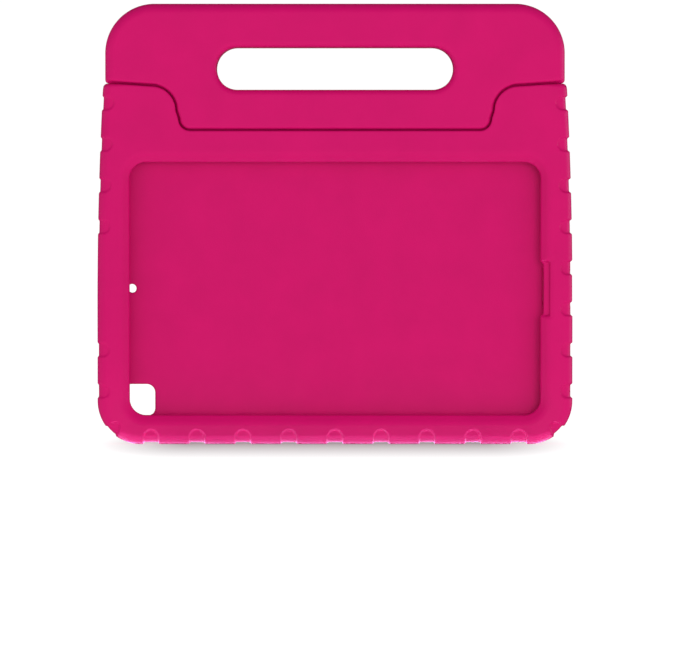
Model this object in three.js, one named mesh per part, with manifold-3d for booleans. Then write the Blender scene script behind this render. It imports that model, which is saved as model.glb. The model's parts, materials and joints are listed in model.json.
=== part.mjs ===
// Tablet case of moulded EVA foam with a carry handle that tips back to become a stand.
// Millimetres. +X is to the viewer's right, the front faces -Y, +Z is up. The case stands on its
// bottom edge with the handle up, and the origin is the middle of the bottom edge.
import * as THREE from 'three';
import { mergeVertices } from 'three/addons/utils/BufferGeometryUtils.js';
import Module from 'manifold-3d';

const wasm = await Module();
wasm.setup();

// ---- driving dimensions ------------------------------------------------------------------

// whole case
const CASE_WIDTH = 279;
const CASE_HEIGHT = 258.4;
const THICKNESS = 25;
const EDGE_ROUND = 6;
const BOTTOM_CORNER_RADIUS = 25.5;
const TAPER_START_Z = 80; // above this height the sides lean in slightly
const TAPER_END_Z = 212;
const TAPER = 3.6; // how far each side has leant in at TAPER_END_Z

// tablet pocket, open to the front through the screen window
const POCKET_WIDTH = 251;
const POCKET_HEIGHT = 158;
const POCKET_DEPTH = 8;
const POCKET_RADIUS = 10;
const LIP_THICKNESS = 5;
const WINDOW_WIDTH = 241;
const WINDOW_HEIGHT = 148.3;
const WINDOW_RADIUS = 9.5;
const WINDOW_CENTRE_Z = 91.4;
const WINDOW_BEVEL = 4.7;
const BEVEL_DEPTH = 3.4;

// button notch in the right-hand lip
const NOTCH_LENGTH = 32.6;
const NOTCH_DEPTH = 1.8;
const NOTCH_STEP = { length: 31.6, outer: 125.9, lip: 1.9 }; // the lip is thinner beside the notch

// seam between the case and the handle: a floor between the ears, an S up each side, a shoulder
const FLOOR_Z = 184;
const SEAM_GAP = 0.6;
const LOWER_ARC = { x: 84.8, z: 191, radius: 7 };
const UPPER_ARC = { x: 107.5, z: 195.9, radius: 14.1 };
const SHOULDER_SLOPE = 0.067;

// handle
const HANDLE_WIDTH = 269.4;
const HANDLE_CORNER_RADIUS = 29;
const SLOT_LENGTH = 139;
const SLOT_HEIGHT = 24.8;
const SLOT_CENTRE_Z = 220.4;
const SLOT_LIP_ROUND = 3;
const WING_FILLET = 9.5;

// hinge
const HINGE_Z = 197.1;
const HINGE_STOP_DEG = 112;
const STOP_CLEARANCE_DEG = 1.5;
const SWEEP_RADIUS = 24;
const FIT_GAP = 0.3;
const PIN = { radius: 2.5, headRadius: 3.5, headLength: 1.8, inner: 68.2, outer: 123 };
const EAR_SLEEVE = { radius: 5, flange: 7.2, inner: 100, outer: 124.5, flangeLength: 2 };
const HANDLE_SLEEVE = { radius: 5.8, flange: 8, inner: 66, outer: 87, flangeLength: 2 };
const BUSH = { radius: 3.9, inner: 71, outer: 86 };

// arched recesses that run across the edge and a little way over both faces
const SCALLOP_DEPTH = 1.2;
const BOTTOM_ARCH = { width: 9, reach: 8.8 };
const SIDE_ARCH = { width: 7.8, reach: 7.2 };
const BOTTOM_SCALLOPS = 9;
const BOTTOM_SCALLOP_PITCH = 27;
const SIDE_SCALLOPS = 8;
const SIDE_SCALLOP_START_Z = 31.4;
const SIDE_SCALLOP_PITCH = 24.1;
const PLAIN_LEFT_SCALLOPS = [2, 3]; // the left side is plain beside the microphone hole

// holes through the back and the sides
const CAMERA_HOLE = { x: -115.5, z: 25.5, size: 19, radius: 5 };
const MICROPHONE_HOLE = { x: -119.5, z: WINDOW_CENTRE_Z, radius: 4 };
const PORT_HOLE = { z: WINDOW_CENTRE_Z, y: -1.5, length: 24, width: 12, radius: 5 };
const SOUND_HOLE_RADIUS = 1.3;
const SOUND_HOLE_PITCH = 9.4;
const SOUND_HOLES_PER_SIDE = 4;
const SOUND_HOLE_FIRST = 19; // from the middle of the port to the first hole
const TOP_SPEAKER_HOLES_Z = [40.2, 49.4, 133.4, 142.6];
const VOLUME_RECESS = { x: -101.5, length: 31, width: 9, depth: 1.6, y: 4.5 };

const HALF = THICKNESS / 2;
const FRONT = -HALF;
const BACK = HALF;
const POCKET_FRONT = FRONT + LIP_THICKNESS;
const POCKET_BACK = POCKET_FRONT + POCKET_DEPTH;
const BEYOND = 40; // how far a cutting tool runs past what it cuts
const SIDES = [['left', -1], ['right', 1]];

// ---- solids ------------------------------------------------------------------------------

// Turns a closed three.js geometry into a solid that can be joined and cut.
function solid(geometry) {
  const bare = geometry.index ? geometry.toNonIndexed() : geometry.clone();
  bare.deleteAttribute('normal');
  bare.deleteAttribute('uv');
  const merged = mergeVertices(bare, 1e-4);
  const corners = merged.index.array;
  const kept = [];
  for (let i = 0; i < corners.length; i += 3) {
    const [a, b, c] = [corners[i], corners[i + 1], corners[i + 2]];
    if (a !== b && b !== c && a !== c) kept.push(a, b, c);
  }
  return new wasm.Manifold(new wasm.Mesh({
    numProp: 3,
    vertProperties: new Float32Array(merged.attributes.position.array),
    triVerts: new Uint32Array(kept),
  }));
}

function geometryOf(cut) {
  const mesh = cut.getMesh();
  const geometry = new THREE.BufferGeometry();
  geometry.setAttribute('position', new THREE.BufferAttribute(mesh.vertProperties, 3));
  geometry.setIndex(new THREE.BufferAttribute(mesh.triVerts, 1));
  geometry.computeVertexNormals();
  return geometry;
}

// A front-view outline (x, z) carried through the thickness from front to back.
function throughY(shape, front, back, curveSegments = 6) {
  const depth = back - front;
  const geometry = new THREE.ExtrudeGeometry(shape, { depth, bevelEnabled: false, curveSegments });
  geometry.rotateX(Math.PI / 2);
  geometry.translate(0, back, 0);
  return geometry;
}

// The same with its front and back edges rounded inwards.
function roundedSlab(shape, round, curveSegments, inset = 0) {
  const geometry = new THREE.ExtrudeGeometry(shape, {
    depth: THICKNESS - 2 * round,
    bevelThickness: round - inset,
    bevelSize: round - inset,
    bevelOffset: -round,
    bevelSegments: 3,
    curveSegments,
  });
  geometry.rotateX(Math.PI / 2);
  geometry.translate(0, HALF - round, 0);
  return geometry;
}

function box(x0, x1, y0, y1, z0, z1) {
  const geometry = new THREE.BoxGeometry(x1 - x0, y1 - y0, z1 - z0);
  geometry.translate((x0 + x1) / 2, (y0 + y1) / 2, (z0 + z1) / 2);
  return geometry;
}

// A body of revolution about the hinge axis, from [distance along X, radius] points.
function turned(points, sign, segments = 24) {
  const profile = points.map(([x, radius]) => new THREE.Vector2(radius, x));
  const geometry = new THREE.LatheGeometry(profile, segments);
  geometry.rotateZ(-Math.PI / 2);
  if (sign < 0) geometry.rotateY(Math.PI);
  geometry.translate(0, 0, HINGE_Z);
  return geometry;
}

function outward(geometry) {
  const made = solid(geometry);
  if (made.volume() > 0) return made;
  const flipped = geometry.index ? geometry.toNonIndexed() : geometry.clone();
  const position = flipped.attributes.position;
  for (let i = 0; i < position.count; i += 3) {
    const a = new THREE.Vector3().fromBufferAttribute(position, i);
    const c = new THREE.Vector3().fromBufferAttribute(position, i + 2);
    position.setXYZ(i, c.x, c.y, c.z);
    position.setXYZ(i + 2, a.x, a.y, a.z);
  }
  return solid(flipped);
}

// ---- outlines ----------------------------------------------------------------------------

function roundedRectangle(width, height, radius, centreX = 0, centreZ = 0) {
  const [w, h] = [width / 2, height / 2];
  const shape = new THREE.Shape();
  shape.absarc(centreX + w - radius, centreZ - h + radius, radius, -Math.PI / 2, 0);
  shape.absarc(centreX + w - radius, centreZ + h - radius, radius, 0, Math.PI / 2);
  shape.absarc(centreX - w + radius, centreZ + h - radius, radius, Math.PI / 2, Math.PI);
  shape.absarc(centreX - w + radius, centreZ - h + radius, radius, Math.PI, Math.PI * 1.5);
  return shape;
}

function arcPoints(centre, radius, start, end, steps) {
  const points = [];
  for (let i = 0; i <= steps; i += 1) {
    const angle = THREE.MathUtils.degToRad(start + ((end - start) * i) / steps);
    points.push([centre.x + radius * Math.cos(angle), centre.z + radius * Math.sin(angle)]);
  }
  return points;
}

function halfWidthAt(z) {
  const rise = Math.max(0, (z - TAPER_START_Z) / (TAPER_END_Z - TAPER_START_Z));
  return CASE_WIDTH / 2 - TAPER * rise * rise;
}

// The case's outer outline, run on above the ears so that their tops are cut square.
function caseOutline() {
  const top = TAPER_END_Z + 2 * EDGE_ROUND;
  const corner = { x: CASE_WIDTH / 2 - BOTTOM_CORNER_RADIUS, z: BOTTOM_CORNER_RADIUS };
  const right = arcPoints(corner, BOTTOM_CORNER_RADIUS, -90, 0, 8);
  const steps = 4;
  for (let i = 0; i <= steps; i += 1) {
    const z = TAPER_START_Z + ((top - TAPER_START_Z) * i) / steps;
    right.push([halfWidthAt(z), z]);
  }
  const left = right.map(([x, z]) => [-x, z]).reverse();
  return new THREE.Shape([...right, ...left].map(([x, z]) => new THREE.Vector2(x, z)));
}

// One side of the seam, from the floor between the ears out over the shoulder. The handle's side of
// the seam is raised from the case's side by an offset.
function seamSide(offset) {
  const lower = arcPoints(LOWER_ARC, LOWER_ARC.radius - offset, -90, 0, 5);
  const upper = arcPoints(UPPER_ARC, UPPER_ARC.radius + offset, 180, 90, 7);
  const [, shoulderZ] = upper[upper.length - 1];
  const outerX = CASE_WIDTH / 2 + BEYOND;
  const outer = [outerX, shoulderZ + (outerX - UPPER_ARC.x) * SHOULDER_SLOPE];
  return [...lower, ...upper, outer];
}

// Everything above the seam, as an outline.
function aboveSeam(offset) {
  const right = seamSide(offset);
  const left = right.map(([x, z]) => [-x, z]).reverse();
  const top = CASE_HEIGHT + BEYOND;
  const outerX = CASE_WIDTH / 2 + BEYOND;
  const outline = [...left, ...right, [outerX, top], [-outerX, top]];
  return new THREE.Shape(outline.map(([x, z]) => new THREE.Vector2(x, z)));
}

// ---- hinge shapes ------------------------------------------------------------------------

// The handle's lower half is round about the hinge axis, and this is that knuckle.
function handleKnuckle() {
  const lower = seamSide(SEAM_GAP).filter(([, z]) => z < HINGE_Z);
  const right = lower.map(([x, z]) => [x, HINGE_Z - z]);
  const [tipX] = right[right.length - 1];
  const half = [...right, [tipX, 0]];
  const mirrored = half.map(([x, radius]) => [-x, radius]).reverse();
  return outward(turned([...mirrored, ...half], 1, 36));
}

// The ear's rear half is round about the axis too, so that the handle's shoulder turns over it.
function earKnuckle(sign) {
  const upper = seamSide(0).filter(([, z]) => z > HINGE_Z);
  const profile = upper.map(([x, z]) => [x, z - HINGE_Z]);
  const [tipX] = profile[0];
  const [endX] = profile[profile.length - 1];
  return outward(turned([[tipX, 0], ...profile, [endX, 0]], sign, 36));
}

// The wedge behind the axis that the handle's shoulder sweeps through on its way to the stop.
function sweptWedge(sign) {
  const stop = THREE.MathUtils.degToRad(HINGE_STOP_DEG);
  const wedge = new THREE.Shape([
    new THREE.Vector2(0, 0),
    new THREE.Vector2(SWEEP_RADIUS, SWEEP_RADIUS / Math.tan(stop)),
    new THREE.Vector2(SWEEP_RADIUS, SWEEP_RADIUS),
    new THREE.Vector2(0, SWEEP_RADIUS),
  ]);
  const length = CASE_WIDTH / 2 + BEYOND - LOWER_ARC.x;
  const geometry = new THREE.ExtrudeGeometry(wedge, { depth: length, bevelEnabled: false });
  geometry.rotateX(Math.PI / 2);
  geometry.rotateZ(Math.PI / 2);
  const start = sign > 0 ? LOWER_ARC.x : -LOWER_ARC.x - length;
  geometry.translate(start, 0, HINGE_Z);
  return solid(geometry);
}

function sleeveOuter(sleeve, clearance) {
  const inner = sleeve.inner - clearance;
  const outer = sleeve.outer + clearance;
  const ring = sleeve.radius + clearance;
  const flange = sleeve.flange + clearance;
  const flangeEnd = sleeve.inner + sleeve.flangeLength + clearance;
  const barbStart = sleeve.outer - 3 * sleeve.flangeLength - clearance;
  const barbEnd = barbStart + sleeve.flangeLength + 2 * clearance;
  return [
    [inner, flange], [flangeEnd, flange], [flangeEnd, ring], [barbStart, ring],
    [barbStart, flange], [barbEnd, ring], [outer, ring],
  ];
}

// A moulded sleeve: flange, barrel and one barb, with a bore right through.
function sleeveSolid(sleeve, bore, sign) {
  const outer = sleeveOuter(sleeve, 0);
  const profile = [[sleeve.inner, bore], ...outer, [sleeve.outer, bore], [sleeve.inner, bore]];
  return outward(turned(profile, sign));
}

// The pocket that the foam leaves round a sleeve.
function sleevePocket(sleeve, sign) {
  const outer = sleeveOuter(sleeve, FIT_GAP);
  const [[start]] = outer;
  const [end] = outer[outer.length - 1];
  return outward(turned([[start, 0], ...outer, [end, 0]], sign));
}

function pinClearance(from, to, sign) {
  const radius = PIN.radius + FIT_GAP;
  return outward(turned([[from, 0], [from, radius], [to, radius], [to, 0]], sign));
}

function pivotPin(sign) {
  const neck = PIN.inner + PIN.headLength;
  return outward(turned([
    [PIN.inner, 0], [PIN.inner, PIN.headRadius], [neck, PIN.headRadius], [neck, PIN.radius],
    [PIN.outer - 1, PIN.radius], [PIN.outer, PIN.radius - 0.8], [PIN.outer, 0],
  ], sign));
}

function frictionBush(sign) {
  const bore = PIN.radius + FIT_GAP;
  return outward(turned([
    [BUSH.inner, bore], [BUSH.inner, BUSH.radius], [BUSH.outer, BUSH.radius],
    [BUSH.outer, bore], [BUSH.inner, bore],
  ], sign));
}

// ---- handle ------------------------------------------------------------------------------

function handleBlank() {
  const foot = FLOOR_Z - BEYOND;
  const height = CASE_HEIGHT - foot;
  const centreZ = foot + height / 2;
  const outline = roundedRectangle(HANDLE_WIDTH, height, HANDLE_CORNER_RADIUS, 0, centreZ);
  const slab = solid(roundedSlab(outline, EDGE_ROUND, 8));
  const space = solid(throughY(aboveSeam(SEAM_GAP), -BEYOND, BEYOND));
  const lowerRear = solid(box(-CASE_WIDTH, CASE_WIDTH, 0, BEYOND, HINGE_Z - BEYOND, HINGE_Z));
  const trimmed = slab.intersect(space).subtract(lowerRear.subtract(handleKnuckle()));
  return trimmed.subtract(wingFillets());
}

// Rounds the rear lower edge of each wing, which lets the handle tip right back.
function wingFillets() {
  const [, undersideZ] = seamSide(SEAM_GAP).find(([x]) => x >= UPPER_ARC.x - 1e-6);
  const slope = (HANDLE_WIDTH / 2 - UPPER_ARC.x) * SHOULDER_SLOPE;
  const low = undersideZ + slope / 2;
  const centreY = BACK - WING_FILLET;
  const tools = SIDES.map(([, sign]) => {
    const [near, far] = [UPPER_ARC.x - 6, CASE_WIDTH / 2 + BEYOND];
    const [x0, x1] = sign > 0 ? [near, far] : [-far, -near];
    const corner = solid(box(x0, x1, centreY, BEYOND, low - WING_FILLET, low + WING_FILLET));
    const round = new THREE.CylinderGeometry(WING_FILLET, WING_FILLET, x1 - x0 + 2, 28);
    round.rotateZ(Math.PI / 2);
    round.translate((x0 + x1) / 2, centreY, low + WING_FILLET);
    return corner.subtract(solid(round));
  });
  return tools[0].add(tools[1]);
}

function gripSlot() {
  const radius = SLOT_HEIGHT / 2;
  const through = roundedRectangle(SLOT_LENGTH, SLOT_HEIGHT, radius, 0, SLOT_CENTRE_Z);
  let slot = solid(throughY(through, -BEYOND, BEYOND, 8));
  const mouth = SLOT_LIP_ROUND / 2;
  for (const [near, far] of [[FRONT - 1, FRONT + mouth], [BACK - mouth, BACK + 1]]) {
    const wide = roundedRectangle(SLOT_LENGTH + 2 * mouth, SLOT_HEIGHT + 2 * mouth,
      radius + mouth, 0, SLOT_CENTRE_Z);
    slot = slot.add(solid(throughY(wide, near, far, 8)));
  }
  return slot;
}

function carryHandle(blank) {
  let handle = blank.subtract(gripSlot());
  for (const [, sign] of SIDES) {
    handle = handle.subtract(sleevePocket(HANDLE_SLEEVE, sign));
    handle = handle.subtract(pinClearance(HANDLE_SLEEVE.outer, UPPER_ARC.x - 9, sign));
  }
  return handle;
}

// ---- case --------------------------------------------------------------------------------

// An upright arch through the whole thickness, standing on the outline at (x, z).
function arch({ width, reach }, x, z, inwardAngle) {
  const half = width / 2;
  const top = arcPoints({ x: 0, z: reach - half }, half, 0, 180, 6);
  const outline = [...top, [-half, -half], [half, -half]];
  const shape = new THREE.Shape(outline.map(([u, w]) => new THREE.Vector2(u, w)));
  const geometry = throughY(shape, FRONT - 1, BACK + 1);
  geometry.rotateY(Math.PI / 2 - inwardAngle);
  geometry.translate(x, 0, z);
  return solid(geometry);
}

function scallops() {
  const tools = [];
  for (let i = 0; i < BOTTOM_SCALLOPS; i += 1) {
    const x = (i - (BOTTOM_SCALLOPS - 1) / 2) * BOTTOM_SCALLOP_PITCH;
    tools.push(arch(BOTTOM_ARCH, x, 0, Math.PI / 2));
  }
  for (const [side, sign] of SIDES) {
    for (let i = 0; i < SIDE_SCALLOPS; i += 1) {
      if (side === 'left' && PLAIN_LEFT_SCALLOPS.includes(i)) continue;
      const z = SIDE_SCALLOP_START_Z + i * SIDE_SCALLOP_PITCH;
      tools.push(arch(SIDE_ARCH, sign * halfWidthAt(z), z, sign > 0 ? Math.PI : 0));
    }
    const reach = BOTTOM_CORNER_RADIUS * Math.SQRT1_2;
    const cornerX = sign * (CASE_WIDTH / 2 - BOTTOM_CORNER_RADIUS + reach);
    const inward = sign > 0 ? Math.PI * 0.75 : Math.PI * 0.25;
    tools.push(arch(SIDE_ARCH, cornerX, BOTTOM_CORNER_RADIUS - reach, inward));
  }
  const arches = tools.reduce((all, tool) => all.add(tool));
  return arches.subtract(solid(roundedSlab(caseOutline(), EDGE_ROUND, 8, SCALLOP_DEPTH)));
}

// The screen window: straight at the screen, then opening out to the front face.
function screenWindow() {
  const centre = [0, WINDOW_CENTRE_Z];
  const straight = roundedRectangle(WINDOW_WIDTH, WINDOW_HEIGHT, WINDOW_RADIUS, ...centre);
  const lipCut = solid(throughY(straight, FRONT - BEYOND, POCKET_FRONT + 1, 5));
  const width = WINDOW_WIDTH + 2 * WINDOW_BEVEL;
  const height = WINDOW_HEIGHT + 2 * WINDOW_BEVEL;
  const mouth = roundedRectangle(width, height, WINDOW_RADIUS + WINDOW_BEVEL, ...centre);
  const geometry = new THREE.ExtrudeGeometry(mouth, {
    depth: 2,
    bevelThickness: BEVEL_DEPTH,
    bevelSize: WINDOW_BEVEL,
    bevelOffset: -WINDOW_BEVEL,
    bevelSegments: 1,
    curveSegments: 5,
  });
  geometry.rotateX(Math.PI / 2);
  geometry.translate(0, FRONT, 0);
  return lipCut.add(solid(geometry));
}

function buttonNotch() {
  const edge = WINDOW_WIDTH / 2;
  const half = NOTCH_LENGTH / 2;
  const outline = [
    [edge - 2, WINDOW_CENTRE_Z - half - 2], [edge + NOTCH_DEPTH, WINDOW_CENTRE_Z - half + NOTCH_DEPTH],
    [edge + NOTCH_DEPTH, WINDOW_CENTRE_Z + half - NOTCH_DEPTH], [edge - 2, WINDOW_CENTRE_Z + half + 2],
  ];
  const shape = new THREE.Shape(outline.map(([x, z]) => new THREE.Vector2(x, z)));
  const notch = solid(throughY(shape, FRONT - 1, POCKET_FRONT + 1));
  const { length, outer, lip } = NOTCH_STEP;
  const low = WINDOW_CENTRE_Z - length / 2;
  const step = box(edge - 2, outer, FRONT - 1, POCKET_FRONT - lip, low, low + length);
  return notch.add(solid(step));
}

// A small hole from the rounded rear edge of a side, slanting in to the tablet's own edge.
function soundHole(sign, z) {
  const length = 26;
  const hole = new THREE.CylinderGeometry(SOUND_HOLE_RADIUS, SOUND_HOLE_RADIUS, length, 8);
  hole.rotateZ(sign * Math.PI / -4);
  const inner = POCKET_WIDTH / 2 - 2;
  const reach = (length / 2) * Math.SQRT1_2;
  hole.translate(sign * (inner + reach), POCKET_FRONT + POCKET_DEPTH / 2 + reach, z);
  return solid(hole);
}

function soundHoles() {
  const tools = TOP_SPEAKER_HOLES_Z.map((z) => soundHole(-1, z));
  for (let i = 0; i < SOUND_HOLES_PER_SIDE; i += 1) {
    const away = SOUND_HOLE_FIRST + i * SOUND_HOLE_PITCH;
    tools.push(soundHole(1, PORT_HOLE.z - away), soundHole(1, PORT_HOLE.z + away));
  }
  return tools.reduce((all, tool) => all.add(tool));
}

function backHoles() {
  const { x, z, size, radius } = CAMERA_HOLE;
  const camera = solid(throughY(roundedRectangle(size, size, radius, x, z), 0, BACK + 1, 4));
  const microphone = new THREE.CylinderGeometry(MICROPHONE_HOLE.radius, MICROPHONE_HOLE.radius,
    BACK + 1, 16);
  microphone.translate(MICROPHONE_HOLE.x, (BACK + 1) / 2, MICROPHONE_HOLE.z);
  const volume = solid(box(
    VOLUME_RECESS.x - VOLUME_RECESS.length / 2, VOLUME_RECESS.x + VOLUME_RECESS.length / 2,
    VOLUME_RECESS.y - VOLUME_RECESS.width / 2, VOLUME_RECESS.y + VOLUME_RECESS.width / 2,
    -1, VOLUME_RECESS.depth,
  ));
  return camera.add(solid(microphone)).add(volume);
}

function portHole() {
  const { length, width, radius, y, z } = PORT_HOLE;
  const outline = roundedRectangle(length, width, radius, z, y);
  const depth = BEYOND;
  const geometry = new THREE.ExtrudeGeometry(outline, { depth, bevelEnabled: false, curveSegments: 4 });
  // the outline's first axis is the height and its second the thickness
  geometry.applyMatrix4(new THREE.Matrix4().set(
    0, 0, 1, POCKET_WIDTH / 2 - 3,
    0, 1, 0, 0,
    1, 0, 0, 0,
    0, 0, 0, 1,
  ));
  return outward(geometry);
}

function caseShell(handle) {
  let shell = solid(roundedSlab(caseOutline(), EDGE_ROUND, 8));
  shell = shell.subtract(solid(throughY(aboveSeam(0), -BEYOND, BEYOND)));
  for (const [, sign] of SIDES) {
    shell = shell.subtract(sweptWedge(sign).subtract(earKnuckle(sign)));
  }
  const tipped = geometryOf(handle);
  const turn = THREE.MathUtils.degToRad(HINGE_STOP_DEG + STOP_CLEARANCE_DEG);
  tipped.translate(0, 0, -HINGE_Z);
  tipped.rotateX(-turn);
  tipped.translate(0, 0, HINGE_Z);
  shell = shell.subtract(solid(tipped));
  const pocketOutline = roundedRectangle(POCKET_WIDTH, POCKET_HEIGHT, POCKET_RADIUS, 0, WINDOW_CENTRE_Z);
  shell = shell.subtract(solid(throughY(pocketOutline, POCKET_FRONT, POCKET_BACK, 5)));
  shell = shell.subtract(screenWindow()).subtract(buttonNotch());
  shell = shell.subtract(backHoles()).subtract(portHole()).subtract(soundHoles());
  shell = shell.subtract(scallops());
  for (const [, sign] of SIDES) {
    shell = shell.subtract(sleevePocket(EAR_SLEEVE, sign));
    shell = shell.subtract(pinClearance(LOWER_ARC.x, EAR_SLEEVE.inner, sign));
  }
  return shell;
}

// ---- assembly ----------------------------------------------------------------------------

function material(color, roughness, metalness = 0) {
  return new THREE.MeshStandardMaterial({ color, roughness, metalness });
}

const FOAM = [0xcd1a69, 0.62];
const NYLON = [0x2b2b2e, 0.5];
const STEEL = [0xb9bcc0, 0.3, 1];
const RUBBER = [0x18181a, 0.8];

const assembly = new THREE.Group();

function place(name, piece, finish) {
  const mesh = new THREE.Mesh(geometryOf(piece), material(...finish));
  mesh.name = name;
  assembly.add(mesh);
}

const blank = handleBlank();
place('case_shell', caseShell(blank), FOAM);
place('carry_handle', carryHandle(blank), FOAM);
for (const [side, sign] of SIDES) {
  place(`ear_sleeve_${side}`, sleeveSolid(EAR_SLEEVE, PIN.radius + FIT_GAP, sign), NYLON);
  place(`handle_sleeve_${side}`, sleeveSolid(HANDLE_SLEEVE, BUSH.radius + FIT_GAP, sign), NYLON);
  place(`friction_bush_${side}`, frictionBush(sign), RUBBER);
  place(`pivot_pin_${side}`, pivotPin(sign), STEEL);
}

export default assembly;
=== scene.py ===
"""Looks of the moulded foam tablet case.

The two foam pieces are made here as smooth moulded shapes, and the hinge parts of the frame get
their finishes. Lengths in the shape functions are millimetres in the frame's axes, and the meshes
are made in metres.
"""

import json
import math

import bpy
import numpy as np
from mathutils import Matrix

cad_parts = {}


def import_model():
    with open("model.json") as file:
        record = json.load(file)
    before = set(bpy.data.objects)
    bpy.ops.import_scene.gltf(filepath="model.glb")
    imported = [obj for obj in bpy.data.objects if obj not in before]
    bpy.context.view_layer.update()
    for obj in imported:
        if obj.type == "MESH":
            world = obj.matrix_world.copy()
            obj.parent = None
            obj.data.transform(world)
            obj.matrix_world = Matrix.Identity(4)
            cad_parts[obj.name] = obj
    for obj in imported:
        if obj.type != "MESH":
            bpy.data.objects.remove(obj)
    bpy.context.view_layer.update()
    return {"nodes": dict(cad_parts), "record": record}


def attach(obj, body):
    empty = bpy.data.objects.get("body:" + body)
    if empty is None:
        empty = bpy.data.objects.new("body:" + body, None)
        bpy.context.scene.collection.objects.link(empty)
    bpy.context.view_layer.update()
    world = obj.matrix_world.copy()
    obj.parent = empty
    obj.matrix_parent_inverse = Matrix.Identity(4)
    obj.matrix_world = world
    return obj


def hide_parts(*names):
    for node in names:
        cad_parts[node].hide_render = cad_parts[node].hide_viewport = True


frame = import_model()

# ---- dimensions --------------------------------------------------------------------------

HEIGHT = 258.4
HALF_WIDTH = 139.5
HALF_THICKNESS = 12.5
EDGE_ROUND = 6
CORNER_RADIUS = 25.5
REACH = 160  # half the height of a blank that runs on past the seam
TAPER = 3.6  # how far each side has leant inwards at TAPER_SPAN above TAPER_START
TAPER_START = 80
TAPER_SPAN = 132

WINDOW_Z = 91.4
WINDOW = (120.5, 74.15, 9.5)  # half width, half height, corner radius
POCKET = (125.5, 79, 10)
POCKET_Y = (-3.5, 4)  # middle and half of its depth
LIP_BACK = -7.2  # the window's cut runs this far, just into the pocket
BEVEL = (4.7, 3.4)  # across the front face, into the thickness
NOTCH = (16.3, 1.8)  # half length, depth
NOTCH_STEP = (15.8, 125.9, -9.4)  # half length, outer side, floor of the thinned lip

SEAM = [(0, 184), (84.8, 191, 7, -90, 0), (107.5, 195.9, 14.1, 180, 90), (200, 216.2)]
SEAM_CELL = 0.25
SEAM_LOW, SEAM_HIGH, SEAM_OUT = 160, 275, 165  # what the table of the seam takes in
SEAM_GAP = 1.0
SEAM_RIDGE = (-7.2, 3.2, 1.4)  # centre, half width and height of the ridge that closes the seam
HANDLE_LIP, CASE_LIP = 2.2, 0.9  # rounding of the edges along the seam
OUTER_LIP = (2.6, 120, 133)  # their rounding at the outer corners, where it starts and is full
HANDLE_HALF_WIDTH = 134.7
HANDLE_CORNER = 29
HANDLE_REACH = 100  # half the height of the handle's blank, which runs on past the seam
SLOT = (69.5, 12.4, 12.4)
SLOT_Z = 220.4
SLOT_ROUND = 3.6
WING_X = 101.5
WING_FILLET = 9.5

HINGE_Z = 197.1
TIPS = np.radians(np.linspace(0, 113.5, 16))
SWEEP_GAP = 0.5
SWEPT_ABOVE, SWEPT_WITHIN = 172, 141  # below or beyond these the handle never meets the case
FAR = 50.0  # stands for any distance that is too large to matter
# rooms round the hinge parts: start and end along the axis, radius
HANDLE_ROOMS = [(65.6, 87.4, 6.2), (65.6, 68.4, 8.4), (80.6, 83.4, 8.4), (87, 99, 2.9)]
EAR_ROOMS = [(99.6, 124.9, 5.4), (99.6, 102.4, 7.6), (118.1, 120.9, 7.6), (84, 100, 2.9)]

OUTER_PART = 100  # the notch and the sides' arches lie farther out than this
SCALLOP_DEPTH = 1.2
BOTTOM_ARCH = (4.5, 8.8)  # half width, reach over the faces
SIDE_ARCH = (3.9, 7.2)
BOTTOM_PITCH = 27
SIDE_START = 31.4
SIDE_PITCH = 24.1
BOTTOM_EACH_WAY = 4  # arches on each side of the middle one
SIDE_LAST = 7  # arches on a side after the lowest
PLAIN_LEFT = (2, 3)  # the left side has no arches beside the microphone hole
LEFT_SHARE = 0.65  # those in the left side are shallower
BOTTOM_EDGE, SIDE_EDGE = 0.7, 0.6  # half width of the soft step round a recess
PORT_SOUND_Z = [WINDOW_Z + s * (19 + 9.4 * i) for i in range(4) for s in (-1, 1)]
SPEAKER_Z = [40.2, 49.4, 133.4, 142.6]
PORT_SOUND_RADIUS, SPEAKER_RADIUS = 1.35, 1.15
SOUND_INSET = 2  # the slanting holes aim at a line this far inside the pocket's side

CAMERA_HOLE = (115.5, 25.5, 9.5, 5)  # distance to the left, height, half size, corner radius
MICROPHONE_HOLE = (119.5, 2.6)  # distance to the left, radius
MICROPHONE_MOUTH = (1.5, 7)  # how much it widens to the back, where that starts
PORT = (12, 6, 5)  # half length, half width, corner radius
PORT_Y, PORT_FROM = 1.5, 122.5
VOLUME = (101.5, 4.5)  # middle of the recess: distance to the left, place in the thickness
VOLUME_RECESS = (15.5, 4.5, 3)
VOLUME_DEPTH = 1.6
VOLUME_PAD = (5.2, 2.4, 2.3)
VOLUME_PAD_AWAY = 7

STUD_ROWS = 3
STUD_ROW_PITCH = 7.5
STUD_RADIUS, STUD_RISE = 2.7, 0.75  # of the outermost row
STUD_LESS = (0.25, 0.2)  # each further row is so much narrower and lower
STUD_START = (119, 11, 44)  # first column, first row, lowest stud of the columns
STUD_ALONG = (-6, 7)
STUD_UP = 8
STUD_FADE = 0.09  # each stud in a column is lower than the one below
STUD_BACK = (8, 10)  # they are on the back only, behind these depths

# ---- shapes as distances, negative inside ------------------------------------------------


def ramp(value, low, high):
    t = np.clip((value - low) / (high - low), 0, 1)
    return t * t * (3 - 2 * t)


def both(a, b, r):
    """What is in a and in b, with the edge between them rounded."""
    corner = np.hypot(np.maximum(a + r, 0), np.maximum(b + r, 0))
    return np.minimum(np.maximum(a, b), -r) + corner


def without(a, b, r):
    return both(a, -b, r)


def either(a, b, r):
    return -both(-a, -b, r)


def rectangle(u, v, half_u, half_v, r):
    qu, qv = np.abs(u) - (half_u - r), np.abs(v) - (half_v - r)
    outside = np.hypot(np.maximum(qu, 0), np.maximum(qv, 0))
    return outside + np.minimum(np.maximum(qu, qv), 0) - r


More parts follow.
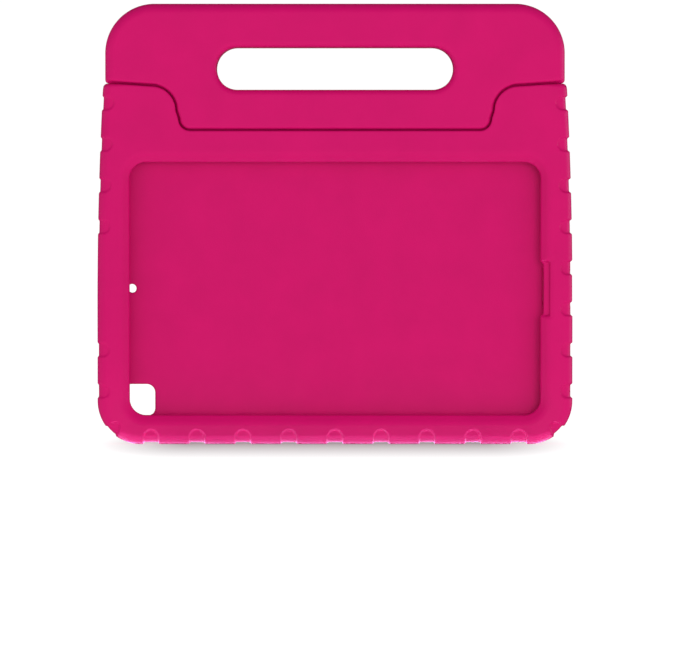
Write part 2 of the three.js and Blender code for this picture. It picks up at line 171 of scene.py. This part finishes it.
def seam_table():
    """Distance to the seam on a fine grid, negative above it."""
    points = [SEAM[0]]
    for x, z, r, start, end in SEAM[1:3]:
        turn = np.radians(np.linspace(start, end, 13))
        points += list(zip(x + r * np.cos(turn), z + r * np.sin(turn)))
    points.append(SEAM[3])
    x = np.arange(0, SEAM_OUT, SEAM_CELL)[:, None]
    z = np.arange(SEAM_LOW, SEAM_HIGH, SEAM_CELL)[None, :]
    best = np.full((x.size, z.size), 1e6)
    for (x0, z0), (x1, z1) in zip(points, points[1:]):
        dx, dz = x1 - x0, z1 - z0
        t = np.clip(((x - x0) * dx + (z - z0) * dz) / (dx * dx + dz * dz), 0, 1)
        best = np.minimum(best, np.hypot(x - x0 - t * dx, z - z0 - t * dz))
    height = np.interp(x, [p[0] for p in points], [p[1] for p in points])
    return np.where(z > height, -best, best).astype(np.float32)


SEAM_TABLE = seam_table()


def above_seam(x, z):
    u = np.clip(np.abs(x) / SEAM_CELL, 0, SEAM_TABLE.shape[0] - 1.001)
    v = np.clip((z - SEAM_LOW) / SEAM_CELL, 0, SEAM_TABLE.shape[1] - 1.001)
    u, v = np.broadcast_arrays(u, v)
    i, j = u.astype(np.int32), v.astype(np.int32)
    u, v = u - i, v - j
    low = SEAM_TABLE[i, j] * (1 - u) + SEAM_TABLE[i + 1, j] * u
    high = SEAM_TABLE[i, j + 1] * (1 - u) + SEAM_TABLE[i + 1, j + 1] * u
    return low * (1 - v) + high * v


def lip(x, middle):
    """Rounding of the edges along the seam: larger at the outer corners."""
    outer, start, full = OUTER_LIP
    return middle + (outer - middle) * ramp(np.abs(x), start, full)


def seam_ridge(y):
    """A low ridge along the handle's side of the seam lies in a groove of the case."""
    centre, half, height = SEAM_RIDGE
    return height * ramp(1 - np.abs(y - centre) / half, 0, 0.8)


def rooms(x, y, z, sizes):
    along = np.abs(x)
    away = np.hypot(y, z - HINGE_Z)
    return np.minimum.reduce(
        [np.maximum(np.maximum(a - along, along - b), away - r) for a, b, r in sizes]
    )


def handle_blank(x, y, z):
    middle = HEIGHT - HANDLE_REACH
    outline = rectangle(x, z - middle, HANDLE_HALF_WIDTH, HANDLE_REACH, HANDLE_CORNER)
    body = both(outline, np.abs(y) - HALF_THICKNESS, EDGE_ROUND)
    body = both(body, above_seam(x, z) + SEAM_GAP - seam_ridge(y), lip(x, HANDLE_LIP))
    away = np.hypot(y, z - HINGE_Z)
    knuckle = above_seam(x, HINGE_Z - away) + SEAM_GAP
    lower_rear = np.maximum(-y, z - HINGE_Z)
    body = both(body, np.minimum(-lower_rear, knuckle), 1.0)
    over = above_seam(x, z) + SEAM_GAP - seam_ridge(y) + WING_FILLET
    rear = y - HALF_THICKNESS + WING_FILLET
    fillet = np.hypot(np.maximum(rear, 0), np.maximum(over, 0)) - WING_FILLET
    return both(body, either(fillet, np.abs(x) - WING_X, 3), 1.0)


def carry_handle(x, y, z):
    body = handle_blank(x, y, z)
    body = without(body, rectangle(x, z - SLOT_Z, *SLOT), SLOT_ROUND)
    return without(body, rooms(x, y, z, HANDLE_ROOMS), 0)


def swept(x, y, z):
    """The space that the handle passes through as it tips back."""
    x, y, z = np.broadcast_arrays(x, y, z)
    near = (z > SWEPT_ABOVE) & (np.abs(x) < SWEPT_WITHIN)
    found = np.full(x.shape, FAR, np.float32)
    px, py, pz = x[near], y[near], z[near] - HINGE_Z
    best = np.full(px.shape, FAR, np.float32)
    for tip in TIPS:
        c, s = math.cos(tip), math.sin(tip)
        back_y, back_z = c * py - s * pz, s * py + c * pz
        best = np.minimum(best, handle_blank(px, back_y, back_z + HINGE_Z))
    found[near] = best
    return found


def scallop_mask(x, z, inward):
    """Depth of the arched recesses at a place, as a share of the full depth."""

    def arch(u, half, reach):
        return half - np.hypot(u, np.maximum(inward - (reach - half), 0))

    i = np.clip(np.round(x / BOTTOM_PITCH), -BOTTOM_EACH_WAY, BOTTOM_EACH_WAY)
    bottom = np.where(z < 20, arch(x - BOTTOM_PITCH * i, *BOTTOM_ARCH), -9)
    k = np.clip(np.round((z - SIDE_START) / SIDE_PITCH), 0, SIDE_LAST)
    plain = (x < 0) & np.isin(k, PLAIN_LEFT)
    side = arch(z - SIDE_START - SIDE_PITCH * k, *SIDE_ARCH)
    side = np.where((np.abs(x) > OUTER_PART) & ~plain, side, -9)
    across, up = np.abs(x) - HALF_WIDTH + CORNER_RADIUS, CORNER_RADIUS - z
    turn = np.arctan2(up, across) - math.pi / 4
    corner = np.where((across > 0) & (up > 0), arch(turn * CORNER_RADIUS, *SIDE_ARCH), -9)
    bottom = ramp(bottom, -BOTTOM_EDGE, BOTTOM_EDGE)
    side = ramp(np.maximum(side, corner), -SIDE_EDGE, SIDE_EDGE)
    return np.maximum(bottom, side * np.where(x < 0, LEFT_SHARE, 1))


def studs(x, z):
    """Height of the rows of small round studs on the back's borders."""
    column, first_row, lowest = STUD_START
    narrower, lower = STUD_LESS
    height = 0
    for row in range(STUD_ROWS):
        shift = 0.5 * (row % 2)
        radius, rise = STUD_RADIUS - narrower * row, STUD_RISE - lower * row
        i = np.clip(np.round(x / BOTTOM_PITCH * 2 + shift), *STUD_ALONG)
        u, v = x - (i - shift) * BOTTOM_PITCH / 2, z - first_row - STUD_ROW_PITCH * row
        height = height + rise * ramp(1 - np.hypot(u, v) / radius, 0, 1)
        k = np.clip(np.round((z - lowest) / SIDE_PITCH * 2 + shift), 0, STUD_UP)
        u = x - column + STUD_ROW_PITCH * row
        v = z - lowest - (k - shift) * SIDE_PITCH / 2
        fade = 1 - STUD_FADE * k
        height = height + rise * fade * ramp(1 - np.hypot(u, v) / radius, 0, 1)
    return height


def nearest(value, centres):
    return np.minimum.reduce([np.abs(value - c) for c in centres])


def sound_holes(x, y, z):
    """Holes that slant in from the rounded rear edge of a side to the tablet's own edge."""
    across = np.abs(x) - POCKET[0] + SOUND_INSET
    in_y = y - POCKET_Y[0]
    sideways = (across - in_y) / math.sqrt(2)
    right = np.hypot(sideways, nearest(z, PORT_SOUND_Z)) - PORT_SOUND_RADIUS
    left = np.hypot(sideways, nearest(z, SPEAKER_Z)) - SPEAKER_RADIUS
    return np.maximum(np.where(x > 0, right, left), -(across + in_y))


def case_shell(x, y, z):
    lean = TAPER * (np.maximum(z - TAPER_START, 0) / TAPER_SPAN) ** 2
    outline = rectangle(np.abs(x) + lean, z - REACH, HALF_WIDTH, REACH, CORNER_RADIUS)
    body = both(outline, np.abs(y) - HALF_THICKNESS, EDGE_ROUND)
    body = body + SCALLOP_DEPTH * scallop_mask(x, z, -outline)
    body = body - studs(x, z) * ramp(y, *STUD_BACK)
    body = both(body, seam_ridge(y) - above_seam(x, z), lip(x, CASE_LIP))
    body = without(body, swept(x, y, z) - SWEEP_GAP, 0.7)

    level = z - WINDOW_Z
    half_notch, notch_depth = NOTCH
    notch = np.maximum(x - WINDOW[0] - notch_depth, OUTER_PART - x)
    ends = (np.abs(level) + x - WINDOW[0] - half_notch) / math.sqrt(2)
    window = np.minimum(rectangle(x, level, *WINDOW), np.maximum(notch, ends))
    across, deep = BEVEL
    slope = (window * deep + (y + HALF_THICKNESS - deep) * across) / math.hypot(across, deep)
    opening = np.maximum(either(window, slope, 0.8), y - LIP_BACK)
    body = without(body, opening, 1.2)
    half_step, side, step_floor = NOTCH_STEP
    step = np.maximum(np.abs(level) - half_step, np.maximum(x - side, OUTER_PART - x))
    body = without(body, np.maximum(step, y - step_floor), 0.6)
    pocket_y, half_depth = POCKET_Y
    pocket = np.maximum(rectangle(x, level, *POCKET), np.abs(y - pocket_y) - half_depth)
    body = without(body, pocket, 0)

    left, height, half, radius = CAMERA_HOLE
    camera = np.maximum(rectangle(x + left, z - height, half, half, radius), -y)
    body = without(body, camera, 1.0)
    left, radius = MICROPHONE_HOLE
    wider, start = MICROPHONE_MOUTH
    round_hole = np.hypot(x + left, level) - radius - wider * ramp(y, start, HALF_THICKNESS)
    body = without(body, np.maximum(round_hole, -y), 0.5)
    port = np.maximum(rectangle(level, y + PORT_Y, *PORT), PORT_FROM - x)
    body = without(body, port, 0.8)
    body = without(body, sound_holes(x, y, z), 0.3)
    left, back = VOLUME
    recess = np.maximum(rectangle(x + left, y - back, *VOLUME_RECESS), z - VOLUME_DEPTH)
    body = without(body, recess, 0.6)
    pads = rectangle(np.abs(x + left) - VOLUME_PAD_AWAY, y - back, *VOLUME_PAD)
    body = either(body, both(pads, np.abs(z - VOLUME_DEPTH) - 1, 0.5), 0.6)
    return without(body, rooms(x, y, z, EAR_ROOMS), 0)


# ---- meshes ------------------------------------------------------------------------------

MOST_TRIANGLES = 190_000
STEP = 0.66
# the corners of the box that each shape is sampled in
CASE_BOX = ((-141.2, -14.4, -1.6), (141.2, 14.4, 215))
HANDLE_BOX = ((-136.8, -14.4, 182.4), (136.8, 14.4, 260))
DRAW_ROUNDS = 3
LONGEST_MOVE = 0.4  # in a round, as a share of the step
LEAST_SLOPE = 0.2


def surface_net(field):
    """Points, in grid steps, and quads of the zero level of a sampled distance."""
    inside = field < 0
    shape = np.array(field.shape) - 1
    total = [np.zeros(int(np.prod(shape))) for _ in range(4)]
    quads = []
    for axis in range(3):
        first, second = [slice(None)] * 3, [slice(None)] * 3
        first[axis], second[axis] = slice(0, -1), slice(1, None)
        start, end = inside[tuple(first)], inside[tuple(second)]
        at = np.argwhere(start != end)
        a, b = field[tuple(first)][tuple(at.T)], field[tuple(second)][tuple(at.T)]
        where = at.astype(float)
        where[:, axis] += a / (a - b)
        u, v = (axis + 1) % 3, (axis + 2) % 3
        ring = []
        for du, dv in ((0, 0), (-1, 0), (-1, -1), (0, -1)):
            cell = at.copy()
            cell[:, u] += du
            cell[:, v] += dv
            flat = np.ravel_multi_index(cell.T, shape)
            ring.append(flat)
            for c in range(3):
                total[c] += np.bincount(flat, where[:, c], total[c].size)
            total[3] += np.bincount(flat, None, total[3].size)
        ring = np.stack(ring, 1)
        leaving = start[tuple(at.T)]
        quads.append(np.where(leaving[:, None], ring, ring[:, ::-1]))
    used = np.flatnonzero(total[3])
    number = np.zeros(total[3].size, np.int64)
    number[used] = np.arange(used.size)
    points = np.stack([total[c][used] / total[3][used] for c in range(3)], 1)
    return points, number[np.concatenate(quads)]


def gradient(shape, p, step=0.05):
    """A shape's distance at the points, and its slope there."""
    here = shape(*p.T)
    slopes = []
    for c in range(3):
        q = p.copy()
        q[:, c] += step
        slopes.append((shape(*q.T) - here) / step)
    return here, np.stack(slopes, 1)


def moulded(name, shape, low, high, step):
    """A smooth mesh of a shape: sampled on a grid, then every point drawn onto the surface."""
    axes = [np.arange(a, b + step, step, dtype=np.float32) for a, b in zip(low, high)]
    x, y, z = np.meshgrid(*axes, indexing="ij", sparse=True)
    points, quads = surface_net(shape(x, y, z))
    points = points * step + np.array([a[0] for a in axes])
    for _ in range(DRAW_ROUNDS):
        here, slope = gradient(shape, points)
        size = np.maximum((slope**2).sum(1), LEAST_SLOPE)
        move = -(here / size)[:, None] * slope
        length = np.linalg.norm(move, axis=1)[:, None]
        points += move * np.minimum(1, LONGEST_MOVE * step / np.maximum(length, 1e-9))
    mesh = bpy.data.meshes.new(name)
    mesh.from_pydata((points / 1000).tolist(), [], quads.tolist())
    mesh.update()
    made = bpy.data.objects.new(name, mesh)
    bpy.context.collection.objects.link(made)
    lighten(made, MOST_TRIANGLES)
    made.data.shade_smooth()
    return made


def lighten(piece, most):
    """Merges faces where the surface is flattest until there are at most so many triangles."""
    triangles = 2 * len(piece.data.polygons)
    if triangles <= most:
        return
    modifier = piece.modifiers.new("lighten", "DECIMATE")
    modifier.ratio = most / triangles
    depsgraph = bpy.context.evaluated_depsgraph_get()
    lighter = bpy.data.meshes.new_from_object(piece.evaluated_get(depsgraph))
    piece.modifiers.clear()
    full = piece.data
    piece.data = lighter
    bpy.data.meshes.remove(full)


shell = moulded("case_foam", case_shell, *CASE_BOX, STEP)
handle = moulded("handle_foam", carry_handle, *HANDLE_BOX, STEP)
for piece, node, body in ((shell, "case_shell", "case"), (handle, "carry_handle", "handle")):
    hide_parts(node)
    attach(piece, body)


# ---- finishes ----------------------------------------------------------------------------


class Finish:
    """A principled material with object-space textures; values are set on its sockets."""

    def __init__(self, name, colour, roughness, **values):
        self.material = bpy.data.materials.new(name)
        self.material.use_nodes = True
        self.tree = self.material.node_tree
        self.shader = self.tree.nodes["Principled BSDF"]
        self.set("Base Color", (*colour, 1))
        self.set("Roughness", roughness)
        for key, value in values.items():
            self.set(key.replace("_", " ").title(), value)
        self.where = self.tree.nodes.new("ShaderNodeTexCoord")

    def set(self, socket, value):
        self.shader.inputs[socket].default_value = value

    def noise(self, scale, detail=2):
        node = self.tree.nodes.new("ShaderNodeTexNoise")
        node.inputs["Scale"].default_value = scale
        node.inputs["Detail"].default_value = detail
        self.tree.links.new(self.where.outputs["Object"], node.inputs["Vector"])
        return node.outputs["Fac"]

    def spread(self, source, low, high, to="Roughness"):
        node = self.tree.nodes.new("ShaderNodeMapRange")
        node.inputs["From Min"].default_value = 0.3
        node.inputs["From Max"].default_value = 0.7
        node.inputs["To Min"].default_value = low
        node.inputs["To Max"].default_value = high
        self.tree.links.new(source, node.inputs["Value"])
        self.tree.links.new(node.outputs["Result"], self.shader.inputs[to])
        return node

    def colours(self, source, low, high):
        node = self.tree.nodes.new("ShaderNodeValToRGB")
        for element, position, colour in zip(node.color_ramp.elements, (0.3, 0.7), (low, high)):
            element.position = position
            element.color = (*colour, 1)
        self.tree.links.new(source, node.inputs["Fac"])
        self.tree.links.new(node.outputs["Color"], self.shader.inputs["Base Color"])

    def bump(self, source, distance, strength, under=None):
        node = self.tree.nodes.new("ShaderNodeBump")
        node.inputs["Distance"].default_value = distance
        node.inputs["Strength"].default_value = strength
        self.tree.links.new(source, node.inputs["Height"])
        if under is not None:
            self.tree.links.new(under, node.inputs["Normal"])
        self.tree.links.new(node.outputs["Normal"], self.shader.inputs["Normal"])
        return node.outputs["Normal"]


FOAM = (0.61, 0.0025, 0.132)


def foam():
    finish = Finish("foam_eva", FOAM, 0.36, sheen_weight=0.02, sheen_roughness=0.3)
    finish.set("Specular IOR Level", 0.14)
    low, high = ([c * part for c in FOAM] for part in (0.97, 1.03))
    finish.colours(finish.noise(45, 3), low, high)
    finish.spread(finish.noise(160, 3), 0.33, 0.4)
    slow = finish.bump(finish.noise(60, 2), 0.0006, 0.25)
    finish.bump(finish.noise(1600, 2), 0.00012, 0.5, slow)
    return finish.material


def nylon():
    finish = Finish("nylon_black", (0.03, 0.03, 0.032), 0.5)
    finish.spread(finish.noise(400), 0.45, 0.6)
    finish.bump(finish.noise(2500), 0.00005, 0.5)
    return finish.material


def rubber():
    finish = Finish("rubber_black", (0.02, 0.02, 0.021), 0.75)
    finish.spread(finish.noise(500), 0.7, 0.85)
    finish.bump(finish.noise(3000), 0.00005, 0.4)
    return finish.material


def steel():
    finish = Finish("steel_satin", (0.55, 0.56, 0.57), 0.32, metallic=1.0)
    finish.spread(finish.noise(300), 0.26, 0.4)
    finish.bump(finish.noise(2000, 4), 0.00003, 0.5)
    return finish.material


def finish_nodes():
    made = {"foam": foam(), "nylon": nylon(), "bush_rubber": rubber(), "pin_steel": steel()}
    slots = {p["node"]: p["material_slot"] for p in frame["record"]["subparts"]}
    for name, node in frame["nodes"].items():
        node.data.materials.clear()
        node.data.materials.append(made[slots[name]])
    for piece in (shell, handle):
        piece.data.materials.append(made["foam"])


finish_nodes()

# ---- studio ------------------------------------------------------------------------------

FLOOR_HALF = 9
FLOOR_GLOW_AND_PAINTED_SHADOW = (0.3, 0.95)  # at the foot, where the low value paints a shadow, and away from it
PAINTED_SHADE_HALF_LENGTH = 0.085  # the floor's emission is lowest, as painted shade, along this much of the foot
PAINTED_SHADE_REACH = 0.15  # the emission is full again at this distance across the foot
PAINTED_SHADE_SQUEEZE = 2.7  # and comes back this much faster along it
HORIZON = (1.02, 1.02, 1.02, 1)
ZENITH = (0.38, 0.38, 0.39, 1)
SKY_FADE = (0.1, 0.6)

CAMERA_AWAY = 2.6
CAMERA_RISE = 0.083  # above what it looks at
CAMERA_AIM = (0.00265, 0.0672)  # across, up
CAMERA_LENS = 234.2


def floor():
    mesh = bpy.data.meshes.new("floor")
    far = FLOOR_HALF
    corners = [(-far, -far, 0), (far, -far, 0), (far, far, 0), (-far, far, 0)]
    mesh.from_pydata(corners, [], [(0, 1, 2, 3)])
    made = bpy.data.objects.new("floor", mesh)
    bpy.context.collection.objects.link(made)
    made.visible_glossy = False
    paper = Finish("paper_white", (0.25, 0.25, 0.25), 0.9)
    paper.set("Emission Color", (1, 1, 1, 1))
    paper.set("Specular IOR Level", 0.0)
    # the floor's emission fades out towards the foot of the case, which paints a soft shadow
    # there; this painted shadow stays put when the handle tips
    away = paper.where.outputs["Object"]
    steps = (
        ("ABSOLUTE", None),
        ("SUBTRACT", (PAINTED_SHADE_HALF_LENGTH, 0, 0)),
        ("MAXIMUM", (0, 0, 0)),
        ("MULTIPLY", (PAINTED_SHADE_SQUEEZE, 1, 1)),
    )
    for operation, value in steps:
        node = paper.tree.nodes.new("ShaderNodeVectorMath")
        node.operation = operation
        paper.tree.links.new(away, node.inputs[0])
        if value is not None:
            node.inputs[1].default_value = value
        away = node.outputs["Vector"]
    length = paper.tree.nodes.new("ShaderNodeVectorMath")
    length.operation = "LENGTH"
    paper.tree.links.new(away, length.inputs[0])
    glow_and_painted_shadow = paper.spread(length.outputs["Value"], *FLOOR_GLOW_AND_PAINTED_SHADOW, "Emission Strength")
    glow_and_painted_shadow.inputs["From Min"].default_value = 0.0
    glow_and_painted_shadow.inputs["From Max"].default_value = PAINTED_SHADE_REACH
    mesh.materials.append(paper.material)


def world():
    made = bpy.data.worlds.new("studio")
    bpy.context.scene.world = made
    made.use_nodes = True
    made.cycles_visibility.glossy = False
    tree = made.node_tree
    where = tree.nodes.new("ShaderNodeTexCoord")
    parts = tree.nodes.new("ShaderNodeSeparateXYZ")
    fade = tree.nodes.new("ShaderNodeValToRGB")
    tree.links.new(where.outputs["Generated"], parts.inputs["Vector"])
    tree.links.new(parts.outputs["Z"], fade.inputs["Fac"])
    tree.links.new(fade.outputs["Color"], tree.nodes["Background"].inputs["Color"])
    low, high = fade.color_ramp.elements
    low.position, high.position = SKY_FADE
    low.color, high.color = HORIZON, ZENITH


def softbox(name, place, aim, size, power, gloss=None):
    """A soft light; one with a gloss colour shows only as a reflection on the foam."""
    light = bpy.data.lights.new(name, "AREA")
    light.shape = "RECTANGLE"
    light.size, light.size_y = size
    light.energy = power
    if gloss:
        light.color = gloss
    made = bpy.data.objects.new(name, light)
    made.location = place
    away = np.array(place) - np.array(aim)
    flat = math.hypot(away[0], away[1])
    made.rotation_euler = (math.atan2(flat, away[2]), 0, math.atan2(away[0], -away[1]))
    made.visible_camera = False
    made.visible_diffuse = gloss is None
    made.visible_glossy = gloss is not None
    bpy.context.collection.objects.link(made)
    return made


def camera():
    lens = bpy.data.cameras.new("camera")
    lens.sensor_width = 36
    lens.lens = CAMERA_LENS
    lens.clip_start, lens.clip_end = 0.1, 50
    made = bpy.data.objects.new("camera", lens)
    across, up = CAMERA_AIM
    made.location = (across, -CAMERA_AWAY, up + CAMERA_RISE)
    made.rotation_euler = (math.pi / 2 - math.atan(CAMERA_RISE / CAMERA_AWAY), 0, 0)
    bpy.context.collection.objects.link(made)
    bpy.context.scene.camera = made


floor()
world()
softbox("key", (0.6, -1.85, 0.35), (0, 0, 0.12), (0.7, 0.5), 8)
fill = softbox("fill", (0, -0.075, 0.012), (0, 0, 0.012), (0.29, 0.02), 0.019)
# the fill stands so near the floor that its own edge would show there
lit = bpy.data.collections.new("lit_by_fill")
lit.objects.link(shell)
lit.objects.link(handle)
fill.light_linking.receiver_collection = lit
softbox("shine", (0, -0.0155, 0.0005), (0, -0.0155, 1), (0.26, 0.019), 0.14, (0.92, 0.48, 1.05))
softbox("rim", (0.9, 0.2, 0.15), (0, 0, 0.13), (0.5, 0.5), 1.5, (1, 0.7, 1))
camera()
bpy.context.scene.view_settings.view_transform = "Standard"
